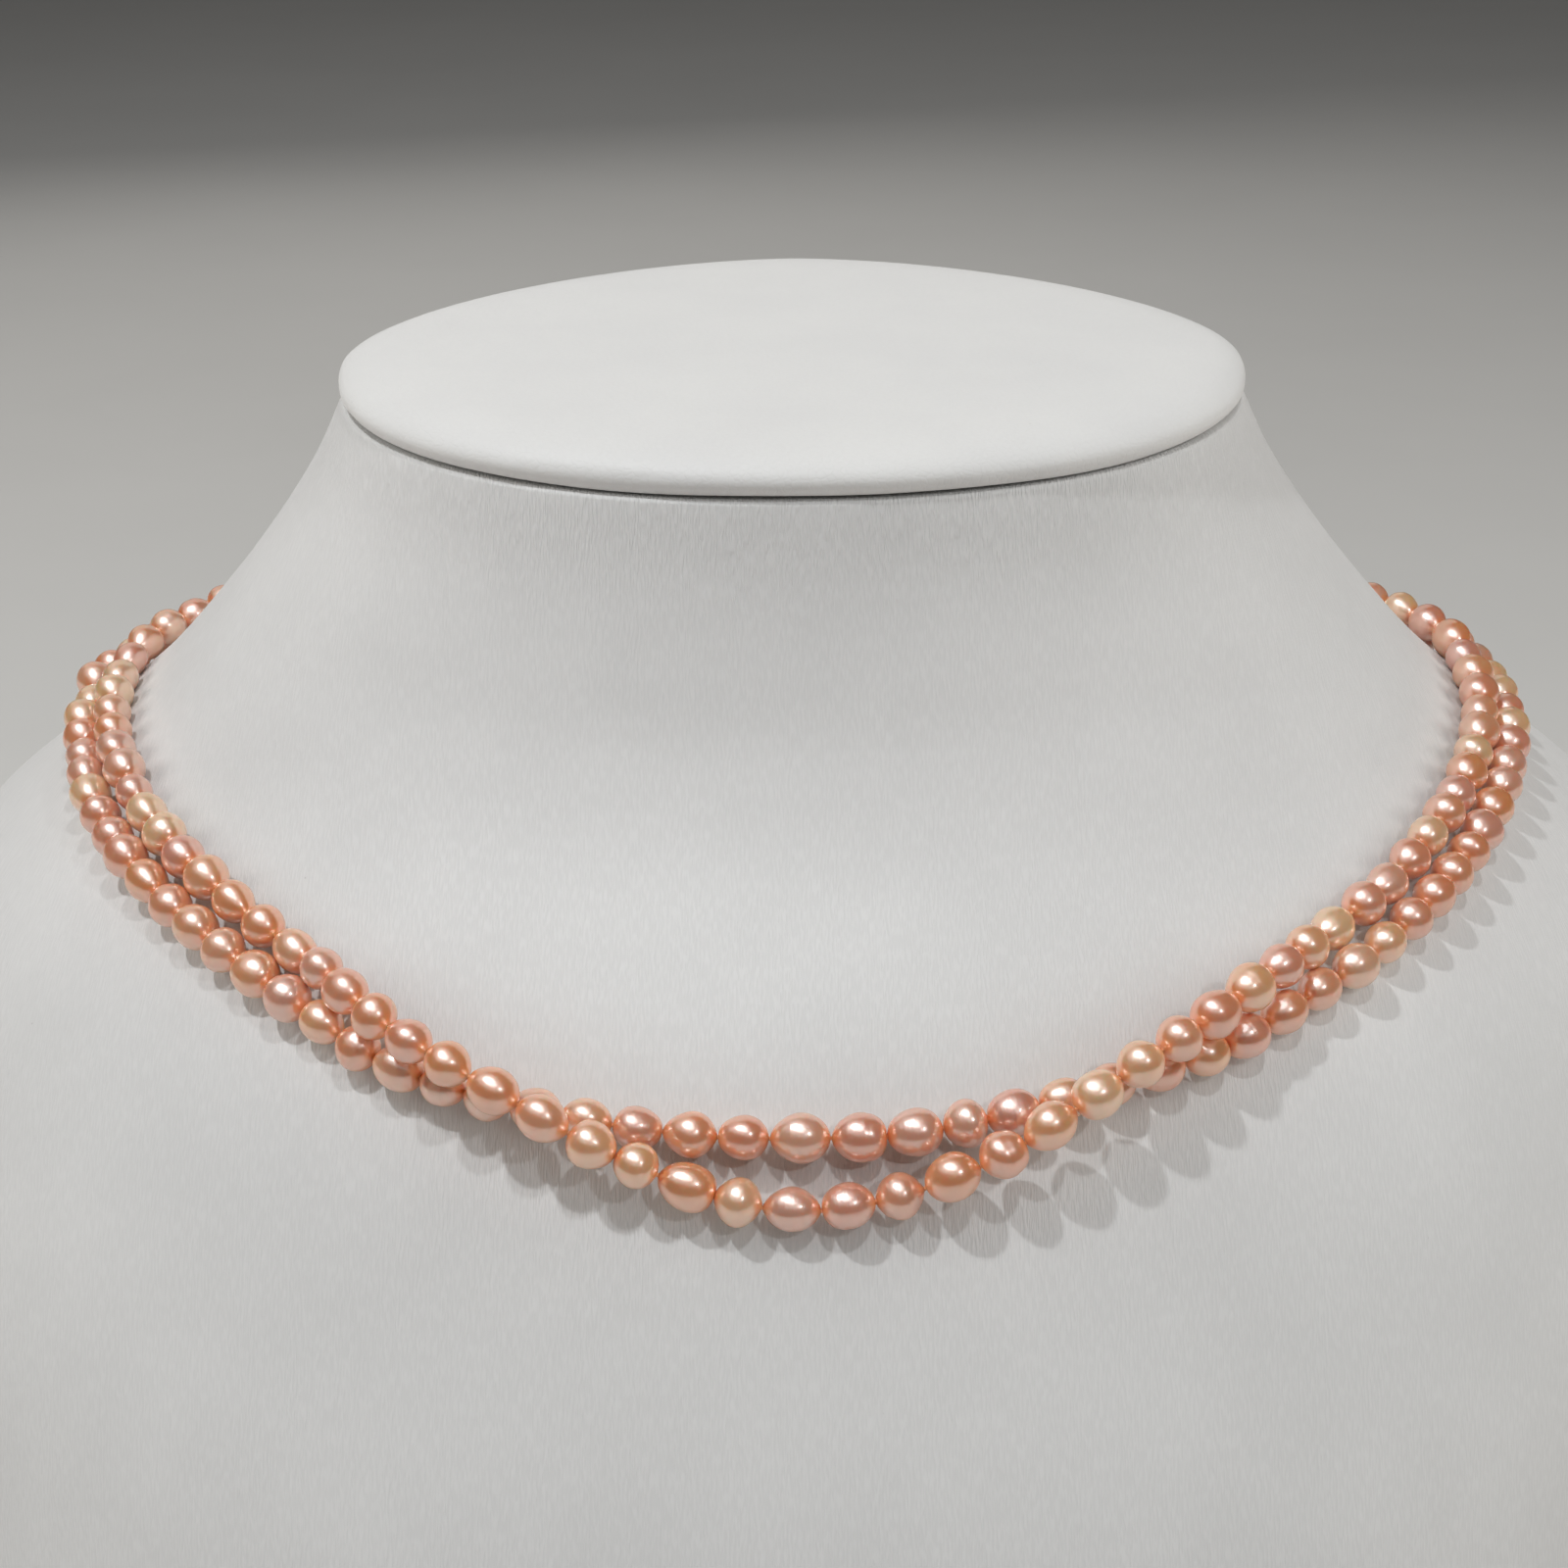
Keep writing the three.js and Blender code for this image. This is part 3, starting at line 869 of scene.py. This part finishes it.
def threadTube(strand, low, high, before, after):
    # the thread goes from hole to hole, and on past the end pearls where it is tied to the clasp
    around = silkThread["sides"]
    half = strand["axes"][:, 0] * strand["reach"][:, :1]
    middle = strand["middle"]
    route = np.stack([middle - half, middle, middle + half], 1)[low:high].reshape(-1, 3)
    line = strand["line"]
    if before:
        route = np.concatenate([onThread(line, strand["start"][[low]] - before), route])
    if after:
        route = np.concatenate([route, onThread(line, strand["end"][[high - 1]] + after)])
    forward = unit(np.gradient(route, axis=0))
    sideways = unit(np.cross(forward, strand["axes"][(low + high) // 2][1]))
    outward = np.cross(sideways, forward)
    turn = np.arange(around) * 2 * math.pi / around
    across, along = np.cos(turn)[None, :, None], np.sin(turn)[None, :, None]
    rings = route[:, None] + silkThread["radius"] * (outward[:, None] * across + sideways[:, None] * along)
    return rings.reshape(-1, 3), np.stack([route[0], route[-1]]), len(route)


def mapSquares(tile, places, side):
    # one small square of the whole map for each place, row by row
    inner = tile * (1 - 2 * mapMargin) + mapMargin
    return [(inner + [place % side, place // side]) / side for place in places]


def buildStrand(column, strand, nacre, silk):
    points = pearlPoints(strand)
    count, perPearl = points.shape[:2]
    quads, start, end = tubeFaces(pearlShape["rings"], pearlShape["around"])
    corners = tubeCorners(pearlShape["rings"], pearlShape["around"])
    tile = (corners + [0, 0.5]) / [pearlShape["around"], pearlShape["rings"]]
    for k in range(piecesPerStrand):
        low, high = (math.floor(i * count / piecesPerStrand + 0.5) for i in (k, k + 1))
        run = range(low, high)
        side = math.ceil(math.sqrt(len(run) + 1))
        faces = []
        for i in range(len(run)):
            for group in (quads, start, end):
                faces += (group + i * perPearl).tolist()
        tied, around = silkThread["tiedLength"], silkThread["sides"]
        tube, ends, rings = threadTube(strand, low, high, tied * (k == 0), tied * (k == piecesPerStrand - 1))
        tubeGroups = tubeFaces(rings, around)
        for group in tubeGroups:
            faces += (group + len(run) * perPearl).tolist()
        strip = (tubeCorners(rings, around) + [0, 0.5]) / [around, rings]
        maps = mapSquares(tile, range(len(run)), side) + mapSquares(strip, [len(run)], side)
        allPoints = np.concatenate([points[low:high].reshape(-1, 3), tube, ends])
        piece = newPiece(f"{column}Strand{k + 1}", allPoints, faces, [nacre, silk])
        layMap(piece, "OFBake", np.concatenate(maps))
        extra = len(tube) + 2
        tones = np.repeat(strand["tones"][low:high], perPearl, 0)
        pointValues(piece, "pearlTone", "FLOAT_VECTOR", np.concatenate([tones, np.zeros((extra, 3))]))
        alongEach = np.tile(strand["axial"], len(run))
        pointValues(piece, "alongPearl", "FLOAT", np.concatenate([alongEach, np.zeros(extra)]))
        silkFaces = sum(len(group) for group in tubeGroups)
        slots = np.concatenate([np.zeros(len(faces) - silkFaces), np.ones(silkFaces)]).astype(np.int32)
        piece.data.polygons.foreach_set("material_index", slots)
        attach(piece, "root")
        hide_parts(f"{column}_strand_{k + 1}")
    print(column, "strand:", count, "pearls of", 2 * len(quads) + len(start) + len(end), "triangles")


clasp = {
    "bodyHalf": (5.2, 4.5),  # half width and half height of the plate
    "thickness": 3.0,
    "dome": 0.45,
    "corners": 5.0,  # superellipse power of the plate's outline
    "columns": 96,
    "loopRadius": 0.62,
    "loopWire": 0.26,  # radius of the wire that the loops are bent from
    "loopFacets": (28, 12),  # round a loop and round its wire
}


def claspFrame():
    # the middle of the clasp, and its directions: across the neck, up it and away from it
    route = strandRoute[0]
    middleDrop = (route["inner"] + route["outer"]) / 2
    upper, lower = bustPoint(math.pi, route["inner"]), bustPoint(math.pi, route["outer"])
    outward = bustNormal(math.pi, middleDrop)
    upwards = unit(upper - lower)
    middle = bustPoint(math.pi, middleDrop) + outward * standOff
    return middle, np.stack([np.cross(upwards, outward), upwards, outward]), np.linalg.norm(upper - lower)


def buildClasp(silver):
    middle, axes, spacing = claspFrame()
    columns, half, dome = clasp["columns"], np.array(clasp["bodyHalf"]), clasp["dome"]
    turn = np.arange(columns) * 2 * math.pi / columns
    power = clasp["corners"]
    reach = (np.abs(np.cos(turn)) ** power + np.abs(np.sin(turn)) ** power) ** (-1 / power)
    outline = np.stack([np.cos(turn), np.sin(turn)], -1) * reach[:, None]
    top, bottom = clasp["thickness"] / 2 - dome, -clasp["thickness"] / 2
    # inset: in from the plate's outline; height: from the plate's middle
    under = [(1.6, bottom), (0.5, bottom), (0.15, bottom + 0.12), (0, bottom + 0.45)]
    parting = [(0, -0.12), (0.14, -0.04), (0.14, 0.04), (0, 0.12)]
    rim = [(0, top - 0.4), (0.1, top - 0.12), (0.38, top), (0.7, top)]
    groove = [(0.8, top - 0.14), (0.95, top - 0.14), (1.05, top), (1.3, top + 0.06)]
    crown = [(2.0, top + dome * 0.55), (3.0, top + dome * 0.85), (3.8, top + dome * 0.97)]
    profile = named("inset height", under + parting + rim + groove + crown)
    rings = [np.column_stack([outline * (half - row["inset"]), np.full(columns, row["height"])])
             for row in profile]
    points = np.concatenate([*rings, [[0, 0, bottom]], [[0, 0, top + dome]]])
    faces = [face for group in tubeFaces(len(rings), columns) for face in group.tolist()]
    parts = [points]
    around, wire = clasp["loopFacets"]
    across, along = np.meshgrid(np.arange(around), np.arange(wire), indexing="ij")
    big, small = across * 2 * math.pi / around, along * 2 * math.pi / wire
    radius = clasp["loopRadius"] + clasp["loopWire"] * np.cos(small)
    loop = np.stack([radius * np.cos(big), clasp["loopWire"] * np.sin(small), radius * np.sin(big)], -1)
    loop = loop.reshape(-1, 3)
    loopFaces = np.stack([
        across * wire + along, (across + 1) % around * wire + along,
        (across + 1) % around * wire + (along + 1) % wire, across * wire + (along + 1) % wire,
    ], -1).reshape(-1, 4)
    for side in (-1, 1):
        for level in (-1, 1):
            faces += (loopFaces + sum(len(part) for part in parts)).tolist()
            parts.append(loop + [side * (half[0] + clasp["loopRadius"]), level * spacing / 2, 0])
    piece = newPiece("claspPlate", middle + np.concatenate(parts) @ axes, faces, [silver])
    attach(piece, "root")
    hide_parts("clasp")


def buildFloor():
    half = floorLook["half"]
    points = [(-half, -half, 0), (half, -half, 0), (half, half, 0), (-half, half, 0)]
    floor = newPiece("floor", points, [(0, 1, 2, 3)], [floorPaper()])
    floor.location.z = cadBox[0].z - floorLook["gap"] * mm


setStage()
print("camera and", len(lamps), "lamps are up")
buildFloor()
buildBust()
buildCap()
print("bust and cap are covered")
nacre, silk = pearlNacre(), threadSilk()
inner, outer = shapePearls("inner"), shapePearls("outer")
restOnBust(inner)
restOnBust(outer)
easeApart(inner, outer)
buildStrand("inner", inner, nacre, silk)
buildStrand("outer", outer, nacre, silk)
buildClasp(claspSilver())
print("strands and clasp are in place")

bpy.context.view_layer.update()
